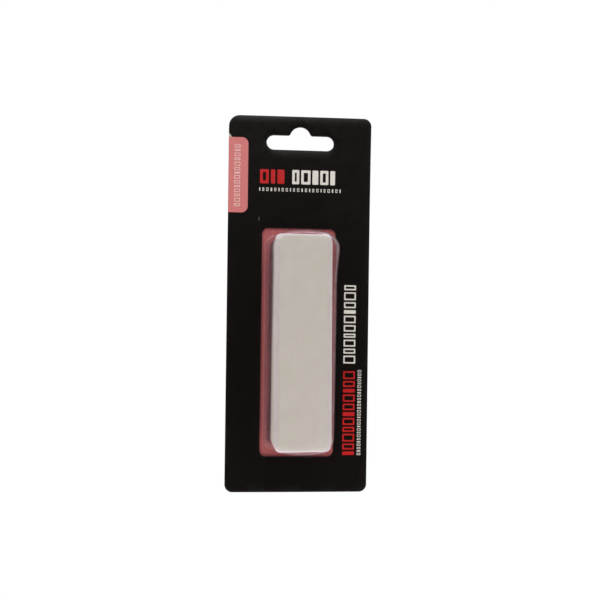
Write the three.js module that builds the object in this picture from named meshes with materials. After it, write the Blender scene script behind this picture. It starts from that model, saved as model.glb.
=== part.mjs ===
// A nail buffer block held by a clear formed blister between the two boards of a hang pack.
// Millimetres. X points right and Z up as the pack hangs; its printed front faces -Y.
// The origin is the top of the hang slot, where a peg hook carries the pack, on the plane
// where the rear board meets the blister's flange.

import * as THREE from 'three';

// Boards
const CARD_WIDTH = 66.5;
const CARD_HEIGHT = 175;
const CARD_THICKNESS = 0.5;
const CARD_CORNER = 3.8;
const SLOT_TOP_TO_CARD_TOP = 4.7;

// Hang slot: a straight slot with round ends and a round bump in the middle of its top edge
const SLOT_WIDTH = 31.4;
const SLOT_HEIGHT = 6.85;
const SLOT_BUMP_RADIUS = 4.9;
const SLOT_BUMP_RISE = 3.95;

// Window in the front board
const WINDOW_WIDTH = 34.5;
const WINDOW_HEIGHT = 106.5;
const WINDOW_CORNER = 2.8;
const WINDOW_BELOW_CARD_TOP = 51.9;

// Blister: one thin sheet, a flat flange round a deep cavity with bowed ends
const SHEET_THICKNESS = 0.3;
const FLANGE_BORDER = 5;
const CAVITY_HALF_WIDTH = 15.4;
const CAVITY_HALF_HEIGHT = 49.7;
const CAVITY_BOW = 1.2;
const CAVITY_CORNER = 5;
const CAVITY_DEPTH = 26.2;
const CAVITY_FRONT_EDGE = 2.2;
const DRAFT = THREE.MathUtils.degToRad(3);
const FRONT_EDGE_STEPS = 4;

// Seal coat between the boards
const SEAL_INSET = 0.8;
const SEAL_CLEARANCE = 0.3;

// Buffer block, 3 3/4 by 1 by 1 inch: a foam core with an adhesive film and an abrasive strip on each
// long face. The front and rear strips reach further than the side ones, whose faces end in the round
// corners.
const BLOCK_SIDE = 25.4;
const BLOCK_LENGTH = 95.25;
const ABRASIVE_THICKNESS = 0.35;
const ADHESIVE_THICKNESS = 0.1;
const CORE_EDGE = 1.5;
const CORE_CORNER = 2.8;
const CORE_EDGE_STEPS = 4;
const STRIP_CORNER = 1.3;
const BLOCK_REAR_GAP = 0.3;
const BLOCK_SHIFT = 0.6;

const CURVE_STEPS = 6;

const CARD_TOP = SLOT_TOP_TO_CARD_TOP;
const CARD_MIDDLE = CARD_TOP - CARD_HEIGHT / 2;
const WINDOW_MIDDLE = CARD_TOP - WINDOW_BELOW_CARD_TOP - WINDOW_HEIGHT / 2;
const FLANGE_FRONT = -SHEET_THICKNESS;
const CORE_SIDE = BLOCK_SIDE - 2 * (ABRASIVE_THICKNESS + ADHESIVE_THICKNESS);
const STRIP_WIDTH = CORE_SIDE - 2 * CORE_EDGE;
const FRONT_STRIP_LENGTH = BLOCK_LENGTH - 2 * CORE_EDGE;
const SIDE_STRIP_LENGTH = BLOCK_LENGTH - 2 * CORE_CORNER;

const printedBlack = new THREE.MeshStandardMaterial({ color: 0x12110f, roughness: 0.45, metalness: 0 });
const printedPink = new THREE.MeshStandardMaterial({ color: 0xb85c5c, roughness: 0.6, metalness: 0 });
const sealCoat = new THREE.MeshStandardMaterial({ color: 0xd8d4cc, roughness: 0.5, metalness: 0 });
const clearSheet = new THREE.MeshStandardMaterial({
  color: 0xe6ecee,
  roughness: 0.08,
  metalness: 0,
  transparent: true,
  opacity: 0.3,
});
const foam = new THREE.MeshStandardMaterial({ color: 0xe2dfdc, roughness: 0.9, metalness: 0 });
const abrasive = new THREE.MeshStandardMaterial({ color: 0xc9c0b1, roughness: 0.95, metalness: 0 });
const adhesive = new THREE.MeshStandardMaterial({ color: 0xd9d2bd, roughness: 0.4, metalness: 0 });

// An upright rectangle with round corners, its middle at (0, middle). It serves as outline and as hole.
function roundedRectangle(width, height, corner, middle = 0) {
  const right = width / 2 - corner;
  const top = middle + height / 2 - corner;
  const bottom = middle - height / 2 + corner;
  const shape = new THREE.Shape();
  shape.absarc(right, top, corner, 0, Math.PI / 2);
  shape.absarc(-right, top, corner, Math.PI / 2, Math.PI);
  shape.absarc(-right, bottom, corner, Math.PI, 1.5 * Math.PI);
  shape.absarc(right, bottom, corner, 1.5 * Math.PI, 2 * Math.PI);
  shape.closePath();
  return shape;
}

// The hang slot's outline grown by margin on every side, its bump's top at (0, margin)
function hangSlot(margin = 0) {
  const endRadius = SLOT_HEIGHT / 2 + margin;
  const endCentre = SLOT_WIDTH / 2 - SLOT_HEIGHT / 2;
  const slotMiddle = -SLOT_BUMP_RISE - SLOT_HEIGHT / 2;
  const bumpRadius = SLOT_BUMP_RADIUS + margin;
  const bumpFoot = Math.asin((SLOT_BUMP_RADIUS - SLOT_BUMP_RISE + margin) / bumpRadius);
  const slot = new THREE.Path();
  slot.absarc(endCentre, slotMiddle, endRadius, -Math.PI / 2, Math.PI / 2);
  slot.absarc(0, -SLOT_BUMP_RADIUS, bumpRadius, bumpFoot, Math.PI - bumpFoot);
  slot.absarc(-endCentre, slotMiddle, endRadius, Math.PI / 2, 1.5 * Math.PI);
  slot.closePath();
  return slot;
}

// The outline of the blister's cavity: straight sides, round corners and ends that bow outwards
function cavityOutline(halfWidth, halfHeight, bow, corner) {
  const right = halfWidth - corner;
  const top = halfHeight - corner;
  const shape = new THREE.Shape();
  shape.absarc(right, top, corner, 0, Math.PI / 2);
  shape.quadraticCurveTo(0, halfHeight + 2 * bow, -right, halfHeight);
  shape.absarc(-right, top, corner, Math.PI / 2, Math.PI);
  shape.absarc(-right, -top, corner, Math.PI, 1.5 * Math.PI);
  shape.quadraticCurveTo(0, -halfHeight - 2 * bow, right, -halfHeight);
  shape.absarc(right, -top, corner, 1.5 * Math.PI, 2 * Math.PI);
  shape.closePath();
  return shape;
}

// A flat sheet of the given outline whose front lies at y = front and whose rear lies at y = rear
function sheet(shape, front, rear) {
  const geometry = new THREE.ExtrudeGeometry(shape, {
    depth: rear - front,
    bevelEnabled: false,
    curveSegments: CURVE_STEPS,
  });
  geometry.rotateX(Math.PI / 2);
  geometry.translate(0, rear, 0);
  return geometry;
}

// One closed body skinned through rings of equally many points, with a flat cap on the first and last ring
function skin(rings) {
  const positions = [];
  const triangles = [];
  const count = rings[0].points.length;
  for (const ring of rings) {
    for (const point of ring.points) {
      positions.push(point.x, ring.y, point.y);
    }
  }
  for (let ring = 0; ring < rings.length - 1; ring += 1) {
    for (let i = 0; i < count; i += 1) {
      const here = ring * count + i;
      const next = ring * count + ((i + 1) % count);
      triangles.push(here, next + count, next);
      triangles.push(here, here + count, next + count);
    }
  }
  for (const ring of [0, rings.length - 1]) {
    const centre = positions.length / 3;
    positions.push(0, rings[ring].y, 0);
    for (let i = 0; i < count; i += 1) {
      const here = ring * count + i;
      const next = ring * count + ((i + 1) % count);
      const edge = ring === 0 ? [here, next] : [next, here];
      triangles.push(centre, ...edge);
    }
  }
  const geometry = new THREE.BufferGeometry();
  geometry.setAttribute('position', new THREE.Float32BufferAttribute(positions, 3));
  geometry.setIndex(triangles);
  geometry.computeVertexNormals();
  return geometry;
}

// A ring of the cavity's wall at depth y, pulled in by inset from the drafted outer wall
function cavityRing(y, inset) {
  const taper = (FLANGE_FRONT - y) * Math.tan(DRAFT) + inset;
  const corner = Math.max(CAVITY_CORNER - inset, SHEET_THICKNESS);
  const halfWidth = CAVITY_HALF_WIDTH - taper;
  const halfHeight = CAVITY_HALF_HEIGHT - taper;
  return { y, points: ringPoints(cavityOutline(halfWidth, halfHeight, CAVITY_BOW, corner)) };
}

// The rounded edge between the cavity's wall and its front, from the wall to the front
function cavityFrontEdge(front, radius, inset) {
  const rings = [];
  for (let step = 0; step <= FRONT_EDGE_STEPS; step += 1) {
    const angle = (step / FRONT_EDGE_STEPS) * (Math.PI / 2);
    const y = front + radius * (1 - Math.sin(angle));
    rings.push(cavityRing(y, inset + radius * (1 - Math.cos(angle))));
  }
  return rings;
}

function ringPoints(shape) {
  const points = shape.getPoints(CURVE_STEPS);
  const closed = points[0].distanceTo(points[points.length - 1]) < 1e-6;
  return closed ? points.slice(0, -1) : points;
}

function blisterGeometry() {
  const flangeWidth = WINDOW_WIDTH / 2 + FLANGE_BORDER;
  const flangeHeight = WINDOW_HEIGHT / 2 + FLANGE_BORDER;
  const flange = ringPoints(cavityOutline(flangeWidth, flangeHeight, 0, WINDOW_CORNER));
  const outerFront = -CAVITY_DEPTH;
  const innerFront = outerFront + SHEET_THICKNESS;
  const innerEdge = CAVITY_FRONT_EDGE - SHEET_THICKNESS;
  return skin([
    ...cavityFrontEdge(outerFront, CAVITY_FRONT_EDGE, 0).reverse(),
    cavityRing(FLANGE_FRONT, 0),
    { y: FLANGE_FRONT, points: flange },
    { y: 0, points: flange },
    cavityRing(0, SHEET_THICKNESS),
    ...cavityFrontEdge(innerFront, innerEdge, SHEET_THICKNESS),
  ]);
}

function blister() {
  const mesh = new THREE.Mesh(blisterGeometry(), clearSheet);
  mesh.name = 'blister';
  mesh.position.set(0, 0, WINDOW_MIDDLE);
  return mesh;
}

function frontCard() {
  const shape = roundedRectangle(CARD_WIDTH, CARD_HEIGHT, CARD_CORNER, CARD_MIDDLE);
  shape.holes.push(hangSlot());
  shape.holes.push(roundedRectangle(WINDOW_WIDTH, WINDOW_HEIGHT, WINDOW_CORNER, WINDOW_MIDDLE));
  const mesh = new THREE.Mesh(sheet(shape, FLANGE_FRONT - CARD_THICKNESS, FLANGE_FRONT), printedBlack);
  mesh.name = 'front_card';
  return mesh;
}

function backCard() {
  const shape = roundedRectangle(CARD_WIDTH, CARD_HEIGHT, CARD_CORNER, CARD_MIDDLE);
  shape.holes.push(hangSlot());
  const mesh = new THREE.Mesh(sheet(shape, 0, CARD_THICKNESS), printedPink);
  mesh.name = 'back_card';
  return mesh;
}

// The seal coat fills the step beside the blister's flange, so both boards lie flat
function sealLayer() {
  const width = CARD_WIDTH - 2 * SEAL_INSET;
  const height = CARD_HEIGHT - 2 * SEAL_INSET;
  const holeWidth = WINDOW_WIDTH + 2 * (FLANGE_BORDER + SEAL_CLEARANCE);
  const holeHeight = WINDOW_HEIGHT + 2 * (FLANGE_BORDER + SEAL_CLEARANCE);
  const shape = roundedRectangle(width, height, CARD_CORNER - SEAL_INSET, CARD_MIDDLE);
  shape.holes.push(hangSlot(SEAL_INSET));
  shape.holes.push(roundedRectangle(holeWidth, holeHeight, WINDOW_CORNER, WINDOW_MIDDLE));
  const mesh = new THREE.Mesh(sheet(shape, FLANGE_FRONT, 0), sealCoat);
  mesh.name = 'seal_layer';
  return mesh;
}

// The foam core lies about its own centre, with rounded edges all round
function foamCore() {
  const shape = roundedRectangle(CORE_SIDE, BLOCK_LENGTH, CORE_CORNER);
  const geometry = new THREE.ExtrudeGeometry(shape, {
    depth: CORE_SIDE - 2 * CORE_EDGE,
    bevelEnabled: true,
    bevelThickness: CORE_EDGE,
    bevelSize: CORE_EDGE,
    bevelOffset: -CORE_EDGE,
    bevelSegments: CORE_EDGE_STEPS,
    curveSegments: CURVE_STEPS,
  });
  geometry.translate(0, 0, CORE_EDGE - CORE_SIDE / 2);
  geometry.rotateX(Math.PI / 2);
  const mesh = new THREE.Mesh(geometry, foam);
  mesh.name = 'foam_core';
  return mesh;
}

// A layer on one long face of the core: its inner side is `inner` from the block's axis
function faceLayer(name, inner, thickness, turn, length, material) {
  const shape = roundedRectangle(STRIP_WIDTH, length, STRIP_CORNER);
  const mesh = new THREE.Mesh(sheet(shape, -inner - thickness, -inner), material);
  mesh.name = name;
  mesh.rotation.z = turn;
  return mesh;
}

function bufferBlock() {
  const block = new THREE.Group();
  block.add(foamCore());
  const filmInner = CORE_SIDE / 2;
  const stripInner = filmInner + ADHESIVE_THICKNESS;
  ['front', 'right', 'back', 'left'].forEach((face, quarter) => {
    const turn = (quarter * Math.PI) / 2;
    const length = quarter % 2 === 0 ? FRONT_STRIP_LENGTH : SIDE_STRIP_LENGTH;
    block.add(faceLayer(`adhesive_${face}`, filmInner, ADHESIVE_THICKNESS, turn, length, adhesive));
    block.add(faceLayer(`abrasive_${face}`, stripInner, ABRASIVE_THICKNESS, turn, length, abrasive));
  });
  block.position.set(BLOCK_SHIFT, -BLOCK_REAR_GAP - BLOCK_SIDE / 2, WINDOW_MIDDLE);
  return block;
}

const pack = new THREE.Group();
pack.add(frontCard(), backCard(), sealLayer(), blister(), bufferBlock());

export default pack;
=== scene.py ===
"""A nail buffer block in a clear formed blister on a black printed hang card.

Metres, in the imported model's frame: X right and Z up as the pack hangs, its printed front
facing -Y. The origin is the top of the hang slot. Every place comes from the model's boxes.
"""
import math

import bpy
import numpy as np
from mathutils import Matrix, Vector, noise
from mathutils.geometry import delaunay_2d_cdt


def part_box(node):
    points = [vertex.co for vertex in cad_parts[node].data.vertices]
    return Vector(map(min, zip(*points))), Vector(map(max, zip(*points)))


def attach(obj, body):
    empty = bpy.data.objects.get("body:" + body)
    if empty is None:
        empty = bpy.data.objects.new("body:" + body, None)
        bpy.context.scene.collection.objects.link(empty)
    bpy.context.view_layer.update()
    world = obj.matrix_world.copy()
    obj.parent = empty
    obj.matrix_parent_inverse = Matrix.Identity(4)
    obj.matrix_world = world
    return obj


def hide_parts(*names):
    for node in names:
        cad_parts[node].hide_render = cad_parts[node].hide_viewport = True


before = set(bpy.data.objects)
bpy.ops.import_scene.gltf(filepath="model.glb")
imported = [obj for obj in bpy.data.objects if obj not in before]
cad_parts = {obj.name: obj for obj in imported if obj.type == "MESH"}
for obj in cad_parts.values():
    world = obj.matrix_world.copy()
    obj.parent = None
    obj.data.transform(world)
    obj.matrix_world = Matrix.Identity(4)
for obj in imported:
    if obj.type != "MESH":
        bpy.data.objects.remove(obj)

MM = 0.001
QUARTER = math.pi / 2

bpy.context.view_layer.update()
card_low, card_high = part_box("front_card")
back_low, back_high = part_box("back_card")
seal_low, seal_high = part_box("seal_layer")
blister_low, blister_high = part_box("blister")
core_low, core_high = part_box("foam_core")

# Boards
CARD_CORNERS = [3.6 * MM, 5.0 * MM, 3.6 * MM, 3.6 * MM]
BOARD_EDGE = 0.08 * MM
CARD_BOW = 0.2 * MM
CARD_CURL = 1.9 * MM
BOARD_STEP = 3.2 * MM
SLOT_END = 3.425 * MM
SLOT_HALF_WIDTH = 15.7 * MM
SLOT_BUMP = 4.9 * MM
SLOT_RISE = 3.95 * MM
SLOT_FILLET = 1.3 * MM
WINDOW_CORNER = 2.8 * MM
FLANGE_BORDER = 5.0 * MM

# Blister
SHEET = 0.3 * MM
CAVITY_HALF_WIDTH = 15.4 * MM
CAVITY_APEX = 50.7 * MM
CAVITY_CORNER = 5.0 * MM
CORNER_SPREAD = 1.5 * MM
CAVITY_END_RADIUS = 48.0 * MM
ROOT_FILLET = 0.8 * MM
FRONT_RADIUS = 2.1 * MM
DRAFT = math.radians(3)
BLISTER_LEAN = 0.95 * MM
END_DRAW_IN = 0.8 * MM

# Block
CORE_EDGE = 1.5 * MM
CORE_CORNER = 2.8 * MM
STRIP_CORNER = 1.3 * MM
FOAM_SWELL = 0.22 * MM
BLOCK_TILT = -0.0075
BLOCK_TWIST = 0.016

# Print
INK = 0.02 * MM
MARK_DEPTH = 0.015 * MM
TAB_TOP, TAB_BOTTOM = -5.5 * MM, -40.35 * MM
TAB_RIGHT = -24.15 * MM
MARK_WIDTHS = (0.62, 0.3, 0.5, 0.66, 0.42, 0.58, 0.34, 0.54)
REAR_LINES = (44, 41, 43, 30, 44, 42, 36, 43, 22)

# Camera
VIEW_TURN = math.radians(4.79)
VIEW_ROLL = math.radians(0.743)
VIEW_DISTANCE = 0.3425
VIEW_AIM_X = 1.33 * MM
VIEW_AIM_RISE = 3.1 * MM
VIEW_LENS = 43.8
VIEW_SHIFT = 0.059

# Light
TENT_LEFT = 0.35
TENT_SIDE = 1.4
TENT_RIGHT = 0.5
FLOOR_RADIUS = 0.8
FLOOR_DROP = 0.45

card_middle = (card_low.z + card_high.z) / 2
window_middle = (blister_low.z + blister_high.z) / 2


# ---------------------------------------------------------------- outlines

def arc(x, z, radius, start, end, steps=8):
    """Points (x, z) along an arc."""
    turns = [start + (end - start) * k / steps for k in range(steps + 1)]
    return [(x + radius * math.cos(a), z + radius * math.sin(a)) for a in turns]


def close_up(arcs, runs):
    """One closed outline: the arcs in turn, each straight run between them cut into its number of lengths."""
    outline = []
    for i, part in enumerate(arcs):
        outline += part
        start, end = Vector(part[-1]), Vector(arcs[(i + 1) % len(arcs)][0])
        outline += [tuple(start.lerp(end, k / runs[i])) for k in range(1, runs[i])]
    return outline


def rounded_rectangle(half_x, half_z, corners, centre, step):
    """A function of grow that gives the outline of an upright rectangle, anticlockwise from its top right."""
    if isinstance(corners, float):
        corners = [corners] * 4
    across = max(1, round(2 * half_x / step))
    along = max(1, round(2 * half_z / step))

    def outline(grow=0.0):
        arcs = []
        for quarter, (sx, sz) in enumerate([(1, 1), (-1, 1), (-1, -1), (1, -1)]):
            radius = corners[quarter]
            x = centre[0] + sx * (half_x - radius)
            z = centre[1] + sz * (half_z - radius)
            arcs.append(arc(x, z, radius + grow, quarter * QUARTER, (quarter + 1) * QUARTER))
        return close_up(arcs, [across, along, across, along])

    return outline


def hang_slot(grow=0.0):
    """The slot: round ends, a round bump in its top edge, and a fillet where the bump meets the slot."""
    end_x = SLOT_HALF_WIDTH - SLOT_END
    middle = -SLOT_RISE - SLOT_END
    foot_z = SLOT_FILLET - SLOT_RISE
    foot_x = math.sqrt((SLOT_BUMP + SLOT_FILLET) ** 2 - (foot_z + SLOT_BUMP) ** 2)
    lean = math.atan2(foot_z + SLOT_BUMP, foot_x)
    fillet = SLOT_FILLET - grow
    return close_up([
        arc(end_x, middle, SLOT_END + grow, -QUARTER, QUARTER, 20),
        arc(foot_x, foot_z, fillet, -QUARTER, lean - math.pi, 6),
        arc(0, -SLOT_BUMP, SLOT_BUMP + grow, lean, math.pi - lean, 24)[1:-1],
        arc(-foot_x, foot_z, fillet, -lean, -QUARTER, 6),
        arc(-end_x, middle, SLOT_END + grow, QUARTER, 3 * QUARTER, 20),
    ], [3, 1, 1, 3, 12])


def cavity(grow=0.0):
    """The blister's cavity: straight sides, round corners and ends that are shallow arcs."""
    half_x = CAVITY_HALF_WIDTH + grow
    corner = CAVITY_CORNER + min(CORNER_SPREAD, -1.85 * grow)
    end_radius = CAVITY_END_RADIUS + grow
    end_z = CAVITY_APEX + grow - end_radius
    x = half_x - corner
    rise = math.sqrt((end_radius - corner) ** 2 - x ** 2)
    z = end_z + rise
    lean = math.atan2(rise, x)
    top = [
        arc(x, z, corner, 0, lean, 12),
        arc(0, end_z, end_radius, lean, math.pi - lean, 16)[1:-1],
        arc(-x, z, corner, math.pi - lean, math.pi, 12),
    ]
    bottom = [[(-px, -pz) for px, pz in part] for part in top]
    outline = close_up(top + bottom, [1, 1, 46, 1, 1, 46])
    return [(px, pz + window_middle) for px, pz in outline]


def flange():
    """The flange's outline, with a point for each point of the cavity's outline."""
    half_x = (blister_high.x - blister_low.x) / 2
    half_z = (blister_high.z - blister_low.z) / 2
    outline = []
    for x, z in cavity():
        z -= window_middle
        reach = min(half_x / max(abs(x), 1e-9), half_z / max(abs(z), 1e-9))
        spread = Vector((x / CAVITY_HALF_WIDTH, z / CAVITY_APEX))
        if abs(x) > CAVITY_HALF_WIDTH - 1e-6:
            point = Vector((math.copysign(half_x, x), z * half_z / (CAVITY_APEX - CAVITY_CORNER)))
            point.y = max(-half_z, min(half_z, point.y))
        else:
            point = Vector((x * half_x / CAVITY_HALF_WIDTH, math.copysign(half_z, z)))
            point.x = max(-half_x, min(half_x, spread.x * half_x * min(1.0, reach)))
        outline.append((point.x, point.y + window_middle))
    return outline


# ---------------------------------------------------------------- meshes

def fill(loops, step):
    """Triangles that fill the first loop but none of the others, with inner points on a grid."""
    outline = np.array([point for loop in loops for point in loop])
    low, high = outline.min(0), outline.max(0)
    columns = np.arange(low[0] + step / 2, high[0], step)
    rows = np.arange(low[1] + step / 2, high[1], step)
    grid = np.stack(np.meshgrid(columns, rows), -1).reshape(-1, 2)
    if len(grid):
        gaps = np.linalg.norm(grid[:, None] - outline[None], axis=2).min(1)
        grid = grid[gaps > 0.55 * step]
    edges = []
    start = 0
    for loop in loops:
        count = len(loop)
        edges += [(start + i, start + (i + 1) % count) for i in range(count)]
        start += count
    points = np.vstack([outline, grid])
    found = delaunay_2d_cdt([Vector(point) / MM for point in points], edges, [], 1, 1e-7)
    source = [origins[0] for origins in found[3]]
    faces = np.array([[source[i] for i in face] for face in found[2]])
    kept = np.ones(len(faces), bool)
    for hole in loops[1:]:
        kept &= ~within(points[faces].mean(1), np.array(hole))
    return faces[kept].tolist(), grid


def within(points, loop):
    """Which points lie inside a closed loop, by counting its edges to the right of each point."""
    x, z = points[:, :1], points[:, 1:]
    ax, az = loop[:, 0], loop[:, 1]
    bx, bz = np.roll(ax, -1), np.roll(az, -1)
    spans = (az > z) != (bz > z)
    with np.errstate(divide="ignore", invalid="ignore"):
        crossing = ax + (z - az) * (bx - ax) / (bz - az)
    return (spans & (x < crossing)).sum(1) % 2 == 1


class Body:
    """The points and faces of one mesh, grown piece by piece."""

    def __init__(self):
        self.points = []
        self.faces = []
        self.slots = []

    def ring(self, outline, y):
        start = len(self.points)
        self.points += [(x, y, z) for x, z in outline]
        return start

    def wall(self, front, rear, count, inward=False, slot=1):
        for i in range(count):
            j = (i + 1) % count
            quad = [front + i, rear + i, rear + j, front + j]
            self.faces.append(quad[::-1] if inward else quad)
            self.slots.append(slot)

    def cap(self, loops, starts, y, step, slot, rear=False):
        """A flat face across the rings that start at starts. It faces the front unless rear is true."""
        triangles, grid = fill(loops, step)
        index = [start + i for loop, start in zip(loops, starts) for i in range(len(loop))]
        added = {}
        for triangle in triangles:
            corners = []
            for corner in triangle:
                if corner >= len(index) and corner not in added:
                    added[corner] = len(self.points)
                    x, z = grid[corner - len(index)]
                    self.points.append((x, y, z))
                corners.append(index[corner] if corner < len(index) else added[corner])
            self.faces.append(corners[::-1] if rear else corners)
            self.slots.append(slot)

    def slab(self, outer, holes, profile, step, slots=(0, 1, 2)):
        """A solid between its first and last (y, inset) in profile, with holes right through."""
        outlines = [outer, *holes]
        starts = []
        for y, inset in profile:
            loops = [outlines[0](-inset), *[hole(inset) for hole in holes]]
            starts.append([self.ring(loop, y) for loop in loops])
        for front, rear in zip(starts, starts[1:]):
            for k, outline in enumerate(outlines):
                self.wall(front[k], rear[k], len(outline()), k > 0, slots[1])
        for end, slot in ((0, slots[0]), (-1, slots[2])):
            y, inset = profile[end]
            loops = [outlines[0](-inset), *[hole(inset) for hole in holes]]
            self.cap(loops, starts[end], y, step, slot, rear=end == -1)

    def mesh(self, name):
        mesh = bpy.data.meshes.new(name)
        mesh.from_pydata([tuple(map(float, point)) for point in self.points], [], self.faces)
        mesh.polygons.foreach_set("material_index", self.slots)
        return mesh


def edge_profile(front, rear, radius, steps=3, between=0):
    """(y, inset) from front to rear with a rounded edge at each, and extra levels between them."""
    turns = [QUARTER * k / steps for k in range(steps + 1)]
    leading = [(front + radius * (1 - math.sin(a)), radius * (1 - math.cos(a))) for a in reversed(turns)]
    trailing = [(front + rear - y, inset) for y, inset in reversed(leading)]
    span = rear - front - 2 * radius
    middle = [(front + radius + span * k / (between + 1), 0.0) for k in range(1, between + 1)]
    return leading + middle + trailing


def put(name, body, materials, rides, replaces=(), sharp=35, shape=None):
    """Makes one piece from a Body, moves its points by shape, and hands it to the frame."""
    mesh = body.mesh(name)
    if shape:
        for vertex in mesh.vertices:
            vertex.co = shape(vertex.co)
    for material in materials:
        mesh.materials.append(material)
    mesh.shade_smooth()
    mesh.set_sharp_from_angle(angle=math.radians(sharp))
    piece = bpy.data.objects.new(name, mesh)
    bpy.context.scene.collection.objects.link(piece)
    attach(piece, rides)
    if replaces:
        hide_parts(*replaces)
    return piece


def mark_rim(piece, loops, reach=6 * MM):
    """Stores how near each point is to the outlines, 1 at an edge and 0 from reach inwards."""
    rim = np.array([point for loop in loops for point in loop])
    places = np.array([(v.co.x, v.co.z) for v in piece.data.vertices])
    gaps = np.linalg.norm(places[:, None] - rim[None], axis=2).min(1)
    layer = piece.data.attributes.new("rim", "FLOAT", "POINT")
    layer.data.foreach_set("value", np.clip(1 - gaps / reach, 0, 1).astype(np.float32))


# ---------------------------------------------------------------- materials

def new_material(name):
    material = bpy.data.materials.new(name)
    material.use_nodes = True
    material.node_tree.nodes.clear()
    return material, material.node_tree


def add(tree, kind, sockets=None, **settings):
    """One shader node. A socket's value is a number, a colour or another node's output."""
    node = tree.nodes.new("ShaderNode" + kind)
    for key, value in settings.items():
        setattr(node, key, value)
    for key, value in (sockets or {}).items():
        socket = node.inputs[key]
        if isinstance(value, bpy.types.NodeSocket):
            tree.links.new(value, socket)
        else:
            socket.default_value = value
    return node


def grain(tree, size, detail=3.0, stretch=(1, 1, 1), seed=0.0):
    """Noise from 0 to 1 whose features are about size metres across."""
    place = add(tree, "TexCoord").outputs["Object"]
    scale = [1 / (size * s) for s in stretch]
    spot = add(tree, "Mapping", {"Vector": place, "Scale": scale, "Location": (seed, seed, seed)})
    sockets = {"Vector": spot.outputs[0], "Scale": 1.0, "Detail": detail}
    return add(tree, "TexNoise", sockets).outputs["Fac"]


def cells(tree, size, feature="F1", output="Distance"):
    place = add(tree, "TexCoord").outputs["Object"]
    sockets = {"Vector": place, "Scale": 1 / size}
    return add(tree, "TexVoronoi", sockets, feature=feature).outputs[output]


def spread(tree, value, low, high, start=0.3, end=0.7):
    sockets = {"Value": value, "From Min": start, "From Max": end, "To Min": low, "To Max": high}
    return add(tree, "MapRange", sockets).outputs["Result"]


def combine(tree, operation, first, second):
    node = add(tree, "Math", operation=operation)
    for socket, value in zip(node.inputs, (first, second)):
        if isinstance(value, bpy.types.NodeSocket):
            tree.links.new(value, socket)
        else:
            socket.default_value = value
    return node.outputs[0]


def blend_colour(tree, share, first, second):
    node = add(tree, "Mix", data_type="RGBA")
    for index, value in ((0, share), (6, first), (7, second)):
        if isinstance(value, bpy.types.NodeSocket):
            tree.links.new(value, node.inputs[index])
        else:
            node.inputs[index].default_value = value
    return node.outputs[2]


def colour(red, green, blue):
    """A colour given as it looks on screen, from 0 to 255, as the linear values that shaders take."""
    def linear(value):
        value /= 255
        return value / 12.92 if value <= 0.04045 else ((value + 0.055) / 1.055) ** 2.4
    return (linear(red), linear(green), linear(blue), 1.0)


def finish_surface(tree, sockets, height=None, depth=0.0, strength=1.0):
    """A Principled surface, with bumps depth metres high."""
    if height is not None:
        bump = add(tree, "Bump", {"Height": height, "Distance": depth, "Strength": strength})
        sockets = {**sockets, "Normal": bump.outputs[0]}
    surface = add(tree, "BsdfPrincipled", sockets)
    output = add(tree, "OutputMaterial", {"Surface": surface.outputs[0]})
    return output


def printed_board(name, base, lighter, worn, roughness):
    """Coated and printed board: a faint mottle, dust, rubbed edges and the paper's grain under the coat."""
    material, tree = new_material(name)
    mottle = spread(tree, grain(tree, 9 * MM, 4), 0, 1)
    tint = blend_colour(tree, mottle, base, lighter)
    rim = add(tree, "Attribute", attribute_name="rim").outputs["Fac"]
    rubbed = spread(tree, rim, 0, 1, 0.86, 1.0)
    patches = spread(tree, grain(tree, 1.6 * MM, 5, seed=4), 0, 0.3, 0.56, 0.7)
    tint = blend_colour(tree, combine(tree, "MULTIPLY", rubbed, patches), tint, worn)
    speck = combine(tree, "LESS_THAN", cells(tree, 2.4 * MM), 0.045)
    tint = blend_colour(tree, combine(tree, "MULTIPLY", speck, 0.25), tint, worn)
    rough = spread(tree, grain(tree, 3 * MM, 3, seed=9), roughness - 0.02, roughness + 0.03)
    fibre = grain(tree, 0.35 * MM, 4, stretch=(1, 1, 3))
    surface = {"Base Color": tint, "Roughness": rough, "Specular IOR Level": 0.3}
    finish_surface(tree, surface, fibre, 0.006 * MM)
    return material


def cut_board(name, dark, light):
    """The cut edge of board: layers of fibre along the sheet."""
    material, tree = new_material(name)
    layers = grain(tree, 0.3 * MM, 4, stretch=(6, 0.25, 6))
    tint = blend_colour(tree, spread(tree, layers, 0, 1), dark, light)
    finish_surface(tree, {"Base Color": tint, "Roughness": 0.9}, layers, 0.02 * MM)
    return material


def ink(name, base, roughness=0.42):
    """Screen ink: a flat colour with slight pinholes and an uneven skin."""
    material, tree = new_material(name)
    deep = tuple(0.82 * value for value in base[:3]) + (1.0,)
    tint = blend_colour(tree, spread(tree, grain(tree, 0.8 * MM, 5), 0, 1), deep, base)
    skin = grain(tree, 0.25 * MM, 3, seed=2)
    rough = spread(tree, grain(tree, 2 * MM, 3), roughness - 0.06, roughness + 0.06)
    finish_surface(tree, {"Base Color": tint, "Roughness": rough}, skin, 0.004 * MM)
    return material


def foam_material():
    """White closed-cell foam, tinted pinkish-lavender as painted bounce light off the pink card: small burst
    cells, a soft skin and a faint warm patchiness.
    """
    material, tree = new_material("foam")
    patches = spread(tree, grain(tree, 7 * MM, 3), 0, 1)
    # Painted bounce light: both foam colours carry a pinkish-lavender cast as if lit by light off the pink
    # card.
    tint = blend_colour(tree, patches, colour(232, 223, 219), colour(239, 230, 227))
    # Painted shade: the burst cells are darker in colour at their hollows, where the bump sinks them.
    pores = spread(tree, cells(tree, 0.42 * MM), 0, 1, 0.0, 0.55)
    pits = spread(tree, cells(tree, 0.9 * MM), 0.4, 1, 0.0, 0.3)
    tint = blend_colour(tree, combine(tree, "MULTIPLY", pores, pits), colour(208, 197, 193), tint)
    height = combine(tree, "MULTIPLY", pores, pits)
    finish_surface(tree, {"Base Color": tint, "Roughness": 0.9, "Sheen Weight": 0.15}, height, 0.05 * MM)
    return material


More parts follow.
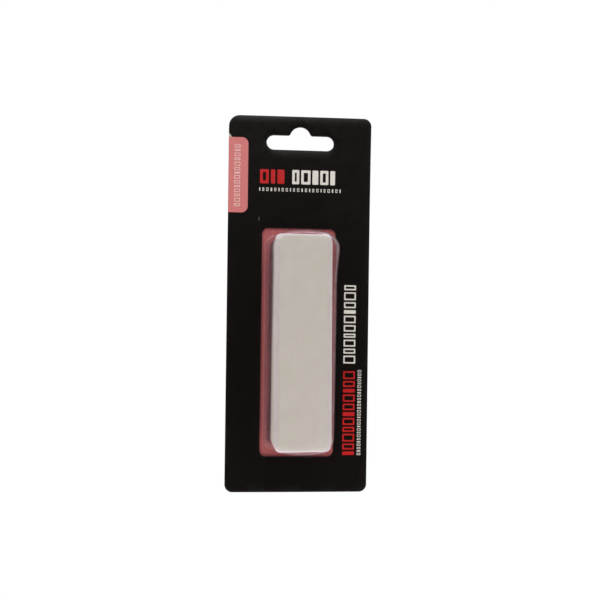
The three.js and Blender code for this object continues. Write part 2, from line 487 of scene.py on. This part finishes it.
def abrasive_material():
    """Fine ivory grit bonded to paper: a sandy grain, pale and dark grains, and a soft mottle."""
    material, tree = new_material("abrasive")
    mottle = spread(tree, grain(tree, 5 * MM, 5), 0, 1)
    tint = blend_colour(tree, mottle, colour(231, 228, 212), colour(236, 233, 218))
    sand = grain(tree, 0.16 * MM, 4)
    tint = blend_colour(tree, spread(tree, sand, 0.22, 0, 0.36, 0.5), tint, colour(196, 185, 168))
    tint = blend_colour(tree, spread(tree, sand, 0, 0.3, 0.58, 0.7), tint, colour(246, 240, 230))
    grit = combine(tree, "ADD", sand, spread(tree, cells(tree, 0.2 * MM), 0.5, 0, 0.0, 0.6))
    finish_surface(tree, {"Base Color": tint, "Roughness": 0.93, "Specular IOR Level": 0.3}, grit, 0.03 * MM)
    return material


def film_material(name, light, dark, roughness):
    """A thin layer of glue or seal coat, uneven and a little glossy."""
    material, tree = new_material(name)
    tint = blend_colour(tree, spread(tree, grain(tree, 2.5 * MM, 4), 0, 1), dark, light)
    finish_surface(tree, {"Base Color": tint, "Roughness": roughness}, grain(tree, 0.6 * MM, 3), 0.02 * MM)
    return material


def clear_sheet_material():
    """Clear formed plastic sheet: it passes most light, and mirrors and clouds more at a slant. What it
    passes at a slant is tinted dark mauve as painted shade on its walls and in the recess beside the block,
    and its mirror colour dims at a slant as painted shade.
    """
    material, tree = new_material("clear_sheet")
    slow = grain(tree, 9 * MM, 2)
    waves = combine(tree, "ADD", slow, combine(tree, "MULTIPLY", grain(tree, 1.2 * MM, 3), 0.04))
    bump = add(tree, "Bump", {"Height": waves, "Distance": 0.25 * MM, "Strength": 1.0})
    slant = add(tree, "LayerWeight", {"Blend": 0.5, "Normal": bump.outputs[0]}).outputs["Facing"]
    haze = spread(tree, grain(tree, 4 * MM, 4, seed=3), 0.022, 0.034)
    share = combine(tree, "ADD", combine(tree, "POWER", slant, 5.0), haze)
    # Painted shade: light through the sheet at a slant is tinted dark mauve, darkening the walls and the
    # recess beside the block.
    painted_slant_shade = combine(tree, "POWER", slant, 1.6)
    tint = blend_colour(tree, painted_slant_shade, (0.965, 0.965, 0.965, 1), (0.76, 0.68, 0.73, 1))
    # Painted shade: the mirror colour dims towards a slant.
    painted_mirror_shade = spread(tree, slant, 0, 1, 0.6, 0.88)
    mirror = blend_colour(tree, painted_mirror_shade, (0.92, 0.9, 1.0, 1), (0.85, 0.82, 0.88, 1))
    through = add(tree, "BsdfTransparent", {"Color": tint})
    gloss = add(tree, "BsdfGlossy", {"Color": mirror, "Roughness": 0.09, "Normal": bump.outputs[0]})
    mix = add(tree, "MixShader", {0: share, 1: through.outputs[0], 2: gloss.outputs[0]})
    veil = add(tree, "BsdfDiffuse", {"Color": (0.95, 0.76, 0.82, 1)})
    cloudy = spread(tree, slant, 0.008, 0.042, 0.2, 0.95)
    veiled = add(tree, "MixShader", {0: cloudy, 1: mix.outputs[0], 2: veil.outputs[0]})
    add(tree, "OutputMaterial", {"Surface": veiled.outputs[0]})
    return material


BLACK = printed_board("board_black", colour(14, 10, 8), colour(15.5, 11.5, 9.5), colour(96, 88, 82), 0.3)
PINK_INSIDE = printed_board(
    "board_pink", colour(196, 104, 102), colour(204, 112, 109), colour(226, 190, 186), 0.55)
DARK_EDGE = cut_board("board_dark_edge", colour(24, 20, 19), colour(46, 40, 38))
PALE_EDGE = cut_board("board_pale_edge", colour(150, 142, 134), colour(206, 199, 190))
INK_RED = ink("ink_red", colour(196, 24, 24))
INK_WHITE = ink("ink_white", colour(236, 230, 221))
INK_PINK = ink("ink_pink", colour(216, 123, 121), 0.5)
INK_PALE = ink("ink_pale_pink", colour(240, 196, 190), 0.5)
INK_GREY = ink("ink_grey", colour(148, 143, 136), 0.5)
FOAM = foam_material()
ABRASIVE = abrasive_material()
GLUE = film_material("adhesive_film", colour(222, 214, 188), colour(198, 187, 156), 0.35)
SEAL = film_material("seal_coat", colour(226, 222, 214), colour(205, 199, 190), 0.45)
CLEAR = clear_sheet_material()


# ---------------------------------------------------------------- the pack

def bow(x, z):
    """How far the boards lie behind flat: a little at the long edges, and forward at the curled top."""
    side = x / card_high.x
    up = max(0.0, (z - card_middle) / (card_high.z - card_middle))
    return CARD_BOW * side ** 2 - CARD_CURL * up ** 3 * (0.6 + 0.4 * side)


def bowed(co):
    return Vector((co.x, co.y + bow(co.x, co.z), co.z))


card_outline = rounded_rectangle(
    card_high.x, (card_high.z - card_low.z) / 2, CARD_CORNERS, (0, card_middle), 3 * MM)
window_outline = rounded_rectangle(
    blister_high.x - FLANGE_BORDER, blister_high.z - FLANGE_BORDER - window_middle,
    WINDOW_CORNER, (0, window_middle), 3 * MM)


def make_front_card():
    body = Body()
    profile = edge_profile(card_low.y, card_high.y, BOARD_EDGE)
    body.slab(card_outline, [hang_slot, window_outline], profile, BOARD_STEP)
    piece = put("front_board", body, [BLACK, DARK_EDGE, PALE_EDGE], "pack", ["front_card"],
                shape=bowed)
    mark_rim(piece, [card_outline(), hang_slot(), window_outline()])


def make_back_card():
    body = Body()
    profile = edge_profile(back_low.y, back_high.y, BOARD_EDGE)
    body.slab(card_outline, [hang_slot], profile, BOARD_STEP)
    piece = put("back_board", body, [PINK_INSIDE, DARK_EDGE, BLACK], "back_panel",
                ["back_card"], shape=bowed)
    mark_rim(piece, [card_outline(), hang_slot()])


def make_seal():
    inset = card_high.x - seal_high.x
    hole = rounded_rectangle(
        blister_high.x + SHEET, blister_high.z + SHEET - window_middle,
        WINDOW_CORNER, (0, window_middle), 3 * MM)
    body = Body()
    profile = [(seal_low.y, inset), (seal_high.y, inset)]
    body.slab(card_outline, [hang_slot, lambda grow=0.0: hole(grow - inset)], profile, 4 * MM)
    put("seal_coat", body, [SEAL, SEAL, SEAL], "pack", ["seal_layer"], shape=bowed)


def formed(co):
    """The blister's unevenness: slow waves, a lean to the right, a bulge and dent at the upper right, and
    a lower end that is drawn in at its front.
    """
    depth = max(0.0, min(1.0, (blister_high.y - SHEET - co.y) / (blister_high.y - blister_low.y)))
    wave = noise.noise_vector(co / (26 * MM)) * 0.18 * MM + noise.noise_vector(co / (9 * MM)) * 0.05 * MM
    moved = co + wave * min(1.0, 4 * depth)
    height = (co.z - window_middle) / (blister_high.z - window_middle)
    right = max(0.0, min(1.0, (co.x - 8 * MM) / (6 * MM)))
    bulge = math.exp(-((co.z - blister_high.z + 17 * MM) / (8 * MM)) ** 2)
    dent = math.exp(-((co.z - blister_high.z + 8.5 * MM) / (3.0 * MM)) ** 2)
    moved.x += BLISTER_LEAN * (1 + 0.3 * height) * depth
    moved.x -= (0.2 - 0.1 * height) * MM * max(0.0, min(1.0, co.x / (12 * MM))) * depth
    moved.x += (1.0 * bulge - 0.6 * dent) * MM * right * depth
    moved.z += END_DRAW_IN * max(0.0, min(1.0, -1.6 * height - 0.6)) * depth
    moved.y = max(blister_low.y, co.y + (moved.y - co.y) * (1 - depth))
    return moved + Vector((0, bow(co.x, co.z) * (1 - depth), 0))


def make_blister():
    flange_front = blister_high.y - SHEET
    wall_start = flange_front - ROOT_FILLET
    wall_end = blister_low.y + FRONT_RADIUS
    levels = []
    for k in range(5):
        a = QUARTER * k / 4
        levels.append((flange_front - ROOT_FILLET * (1 - math.cos(a)), ROOT_FILLET * (1 - math.sin(a))))
    for k in range(1, 13):
        y = wall_start + (wall_end - wall_start) * k / 12
        levels.append((y, -(wall_start - y) * math.tan(DRAFT)))
    narrow = levels[-1][1]
    for k in range(1, 9):
        a = QUARTER * k / 8
        levels.append((wall_end - FRONT_RADIUS * math.sin(a), narrow - FRONT_RADIUS * (1 - math.cos(a))))

    body = Body()
    count = len(cavity())
    rings = []
    rim, root = flange(), cavity(levels[0][1])
    for k in range(3):
        share = k / 3
        outline = [(a[0] + (b[0] - a[0]) * share, a[1] + (b[1] - a[1]) * share) for a, b in zip(rim, root)]
        rings.append(body.ring(outline, flange_front))
    rings += [body.ring(cavity(grow), y) for y, grow in levels]
    for outer, inner in zip(rings, rings[1:]):
        body.wall(inner, outer, count, slot=0)
    y, grow = levels[-1]
    body.cap([cavity(grow)], [rings[-1]], y, 2.5 * MM, 0)
    piece = put("blister_sheet", body, [CLEAR], "pack", ["blister"], 60, formed)
    thicken = piece.modifiers.new("thickness", "SOLIDIFY")
    thicken.thickness = SHEET
    thicken.offset = -1
    thicken.use_even_offset = True
    apply_modifiers(piece)


def apply_modifiers(piece):
    """Makes the piece's modifiers part of its mesh."""
    graph = bpy.context.evaluated_depsgraph_get()
    solid = bpy.data.meshes.new_from_object(piece.evaluated_get(graph))
    old = piece.data
    piece.modifiers.clear()
    piece.data = solid
    bpy.data.meshes.remove(old)


# ---------------------------------------------------------------- print

def mark(body, low, high, y, stroke):
    """One printed mark between two corners (x, z): a small box, hollow if there is room inside its stroke."""
    half_x, half_z = (high[0] - low[0]) / 2, (high[1] - low[1]) / 2
    centre = (low[0] + half_x, low[1] + half_z)
    corner = min(0.35 * stroke, 0.4 * half_x, 0.4 * half_z)
    outline = rounded_rectangle(half_x, half_z, corner, centre, 6 * MM)
    holes = []
    if min(half_x, half_z) > 1.35 * stroke:
        holes = [rounded_rectangle(half_x - stroke, half_z - stroke, 0.25 * stroke, centre, 6 * MM)]
    body.slab(outline, holes, [(y - MARK_DEPTH, 0.0), (y + MARK_DEPTH, 0.0)], 6 * MM, (0, 0, 0))


def line_of_marks(body, x, z, length, height, stroke, y, upright=True, first=0, apart=None):
    """A row of plain boxes, narrow and wide, that stands for a line of print.

    The row runs along X from (x, z), or up along Z with the marks lying towards -X if upright is false.
    """
    place, k = 0.0, first
    apart = 0.75 * stroke if apart is None else apart
    while True:
        width = height * MARK_WIDTHS[k % len(MARK_WIDTHS)]
        if place + width > length:
            break
        if upright:
            mark(body, (x + place, z), (x + place + width, z + height), y, stroke)
        else:
            mark(body, (x - height, z + place), (x, z + place + width), y, stroke)
        place += width + apart
        k += 1


def make_front_print():
    y = card_low.y
    red, white, pale = Body(), Body(), Body()
    line_of_marks(red, -18.6 * MM, -26.6 * MM, 14.4 * MM, 6.6 * MM, 1.35 * MM, y)
    line_of_marks(white, -3.6 * MM, -26.6 * MM, 23.6 * MM, 6.6 * MM, 1.2 * MM, y, first=2)
    line_of_marks(white, -18.9 * MM, -30.1 * MM, 38.2 * MM, 1.6 * MM, 0.27 * MM, y, first=1, apart=1.0 * MM)
    line_of_marks(white, 27.2 * MM, -110.0 * MM, 37.5 * MM, 5.6 * MM, 0.66 * MM, y, False, 3, 0.95 * MM)
    line_of_marks(red, 27.2 * MM, -153.0 * MM, 40.5 * MM, 5.6 * MM, 0.72 * MM, y, False, 1, 0.9 * MM)
    line_of_marks(white, 30.2 * MM, -153.0 * MM, 40.0 * MM, 1.7 * MM, 0.23 * MM, y, False, 5, 0.6 * MM)
    line_of_marks(pale, -27.8 * MM, -37.5 * MM, 28.9 * MM, 2.7 * MM, 0.33 * MM, y - INK, False, 2, 0.75 * MM)
    put("print_red", red, [INK_RED], "pack", shape=bowed)
    put("print_white", white, [INK_WHITE], "pack", shape=bowed)
    put("print_on_tab", pale, [INK_PALE], "pack", shape=bowed)


def tab_outline(grow=0.0):
    """The pink tab: flush with the card's left edge, with round corners on its right."""
    left, right = card_low.x + 0.05 * MM, TAB_RIGHT
    top, bottom, corner = TAB_TOP, TAB_BOTTOM, 3.0 * MM
    return close_up([
        arc(right - corner, top - corner, corner + grow, 0, QUARTER),
        [(left - grow, top + grow)],
        [(left - grow, bottom - grow)],
        arc(right - corner, bottom + corner, corner + grow, 3 * QUARTER, 4 * QUARTER),
    ], [3, 11, 3, 9])


def make_tab():
    y = card_low.y
    tab = Body()
    tab.slab(tab_outline, [], [(y - INK, 0.0), (y + INK, 0.0)], 3 * MM, (0, 0, 0))
    put("print_tab", tab, [INK_PINK], "pack", shape=bowed)
    nick = Body()

    def chip(grow=0.0):
        left = card_low.x + 0.03 * MM
        foot = -5.55 * MM
        return [(left, -3.7 * MM), (left, foot), (left + 1.5 * MM, foot), (left + 0.7 * MM, -4.4 * MM)]

    def scratch(grow=0.0):
        return [(-18.8 * MM, -41.7 * MM), (-18.85 * MM, -43.4 * MM),
                (-18.78 * MM, -44.7 * MM), (-18.75 * MM, -43.0 * MM)]

    nick.slab(chip, [], [(y - 0.03 * MM, 0.0), (y + INK, 0.0)], 3 * MM, (0, 0, 0))
    nick.slab(scratch, [], [(y - 0.01 * MM, 0.0), (y + INK, 0.0)], 3 * MM, (0, 0, 0))
    put("torn_print_chip", nick, [PALE_EDGE], "pack", shape=bowed)


def make_rear_print():
    y = back_high.y
    grey, pink = Body(), Body()
    for line, length in enumerate(REAR_LINES):
        z = -60 * MM - line * 5.2 * MM
        line_of_marks(grey, -22 * MM, z, length * MM, 1.9 * MM, 0.36 * MM, y, first=line)
    pink.slab(tab_outline, [], [(y - INK, 0.0), (y + INK, 0.0)], 3 * MM, (0, 0, 0))
    put("rear_print", grey, [INK_GREY], "back_panel", shape=bowed)
    put("rear_tab", pink, [INK_PINK], "back_panel", shape=bowed)


# ---------------------------------------------------------------- the block

block_middle = (core_low + core_high) / 2
settled = Vector((BLOCK_TWIST * (core_high.y - block_middle.y), -0.05 * MM, 0))
tilt = (Matrix.Translation(block_middle - settled)
        @ Matrix.Rotation(BLOCK_TWIST, 4, "Z") @ Matrix.Rotation(BLOCK_TILT, 4, "Y")
        @ Matrix.Translation(-block_middle))


def dented(co):
    """Foam is never quite flat: a shallow unevenness all over."""
    return co + noise.noise_vector(co / (11 * MM)) * 0.07 * MM


def make_core():
    half = (core_high - core_low) / 2
    outline = rounded_rectangle(
        half.x + FOAM_SWELL, half.z, CORE_CORNER, (block_middle.x, block_middle.z), 2.5 * MM)
    body = Body()
    profile = edge_profile(core_low.y - FOAM_SWELL, core_high.y + FOAM_SWELL, CORE_EDGE + FOAM_SWELL, 6, 7)
    body.slab(outline, [], profile, 2.5 * MM, (0, 0, 0))
    piece = put("foam_block", body, [FOAM], "buffer", ["foam_core"], 60,
                lambda co: tilt @ dented(co))


def make_layer(face, turn, kind, material, edge):
    """One layer on a long face of the block: a sheet on the front face, turned about the block's axis."""
    low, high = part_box(f"{kind}_{face}")
    wide = max(high.x - low.x, high.y - low.y) / 2
    half_z = (high.z - low.z) / 2
    inner = {"front": block_middle.y - high.y, "back": low.y - block_middle.y,
             "right": low.x - block_middle.x, "left": block_middle.x - high.x}[face]
    thickness = min(high.x - low.x, high.y - low.y)
    outline = rounded_rectangle(wide, half_z, STRIP_CORNER, (0, 0), 2.5 * MM)
    body = Body()
    body.slab(outline, [], edge_profile(-inner - thickness, -inner, edge, 2), 2.5 * MM, (0, 0, 0))
    place = tilt @ Matrix.Translation(block_middle) @ Matrix.Rotation(turn, 4, "Z")

    def shape(co):
        uneven = noise.noise(co / (9 * MM) + Vector((turn, 0, 0))) * 0.03 * MM
        return place @ Vector((co.x, co.y - uneven, co.z))

    put(f"{kind}_strip_{face}", body, [material], "buffer", [f"{kind}_{face}"], 50, shape)


def make_block():
    make_core()
    for quarter, face in enumerate(("front", "right", "back", "left")):
        turn = quarter * QUARTER
        make_layer(face, turn, "adhesive", GLUE, 0.02 * MM)
        make_layer(face, turn, "abrasive", ABRASIVE, 0.12 * MM)


# ---------------------------------------------------------------- scene

def make_camera():
    forward = Vector((math.sin(VIEW_TURN), math.cos(VIEW_TURN), 0))
    aim = Vector((VIEW_AIM_X, 0, block_middle.z + VIEW_AIM_RISE))
    camera = bpy.data.objects.new("camera", bpy.data.cameras.new("camera"))
    camera.data.lens = VIEW_LENS
    camera.data.shift_y = VIEW_SHIFT
    camera.data.clip_start = 0.01
    camera.location = aim - forward * VIEW_DISTANCE
    level = Matrix.Rotation(-VIEW_TURN, 4, "Z") @ Matrix.Rotation(QUARTER, 4, "X")
    camera.rotation_euler = (level @ Matrix.Rotation(VIEW_ROLL, 4, "Z")).to_euler()
    bpy.context.scene.collection.objects.link(camera)
    bpy.context.scene.camera = camera


def softbox(name, place, aim, width, height, power, mirrored=True):
    light = bpy.data.lights.new(name, "AREA")
    light.shape = "RECTANGLE"
    light.size = width
    light.size_y = height
    light.energy = power
    box = bpy.data.objects.new(name, light)
    box.visible_camera = False
    box.visible_glossy = mirrored
    box.location = place
    box.rotation_euler = (Vector(aim) - Vector(place)).to_track_quat("-Z", "Y").to_euler()
    bpy.context.scene.collection.objects.link(box)


def make_lights():
    middle = Vector((0, 0, card_middle))
    softbox("key", (0.12, -0.5, 0.5), middle, 0.5, 0.4, 2.4)
    softbox("below", (0.0, -0.15, -0.5), middle, 0.7, 0.3, 1.5, mirrored=False)


def make_world():
    """A light tent: dark straight ahead, dimmer far to the left and right, bright behind only on the left.

    The camera itself sees plain white.
    """
    world = bpy.data.worlds.new("studio")
    bpy.context.scene.world = world
    world.use_nodes = True
    tree = world.node_tree
    tree.nodes.clear()
    place = add(tree, "TexCoord").outputs["Generated"]
    across, away, up = add(tree, "SeparateXYZ", {"Vector": place}).outputs
    opening = spread(tree, away, 0.0, 1.0, -0.92, -0.6)
    backdrop = spread(tree, across, 1.1, 0.05, -0.6, 0.2)
    behind = spread(tree, away, 1.0, backdrop, 0.0, 0.5)
    leftward = spread(tree, across, TENT_LEFT, TENT_SIDE, -1.0, -0.5)
    rightward = spread(tree, across, 1.0, TENT_RIGHT, 0.0, 0.9)
    sideways = combine(tree, "MULTIPLY", leftward, rightward)
    upward = spread(tree, up, 0.6, 1.0, -0.6, -0.1)
    cloth = combine(tree, "MULTIPLY", combine(tree, "MULTIPLY", opening, behind), sideways)
    cloth = combine(tree, "MULTIPLY", cloth, upward)
    light = combine(tree, "ADD", cloth, 0.015)
    seen = add(tree, "LightPath").outputs["Is Camera Ray"]
    share = combine(tree, "MAXIMUM", light, seen)
    sky = add(tree, "Background", {"Color": (1, 1, 1, 1), "Strength": share})
    add(tree, "OutputWorld", {"Surface": sky.outputs[0]})


def make_floor():
    """A round white table under the hanging pack."""
    mesh = bpy.data.meshes.new("floor")
    count = 64
    turns = [2 * math.pi * k / count for k in range(count)]
    rim = [(FLOOR_RADIUS * math.cos(turn), FLOOR_RADIUS * math.sin(turn), 0) for turn in turns]
    mesh.from_pydata(rim, [], [list(range(count))])
    material, tree = new_material("floor_white")
    finish_surface(tree, {
        "Base Color": (0.9, 0.9, 0.9, 1), "Roughness": 0.9,
        "Emission Color": (1, 1, 1, 1), "Emission Strength": 0.1,
    })
    mesh.materials.append(material)
    floor = bpy.data.objects.new("floor", mesh)
    floor.location = (0, 0, card_low.z - FLOOR_DROP)
    bpy.context.scene.collection.objects.link(floor)


make_camera()
make_front_card()
make_back_card()
make_seal()
make_blister()
make_front_print()
make_tab()
make_rear_print()
make_block()
make_lights()
make_world()
make_floor()
bpy.context.scene.view_settings.view_transform = "Standard"
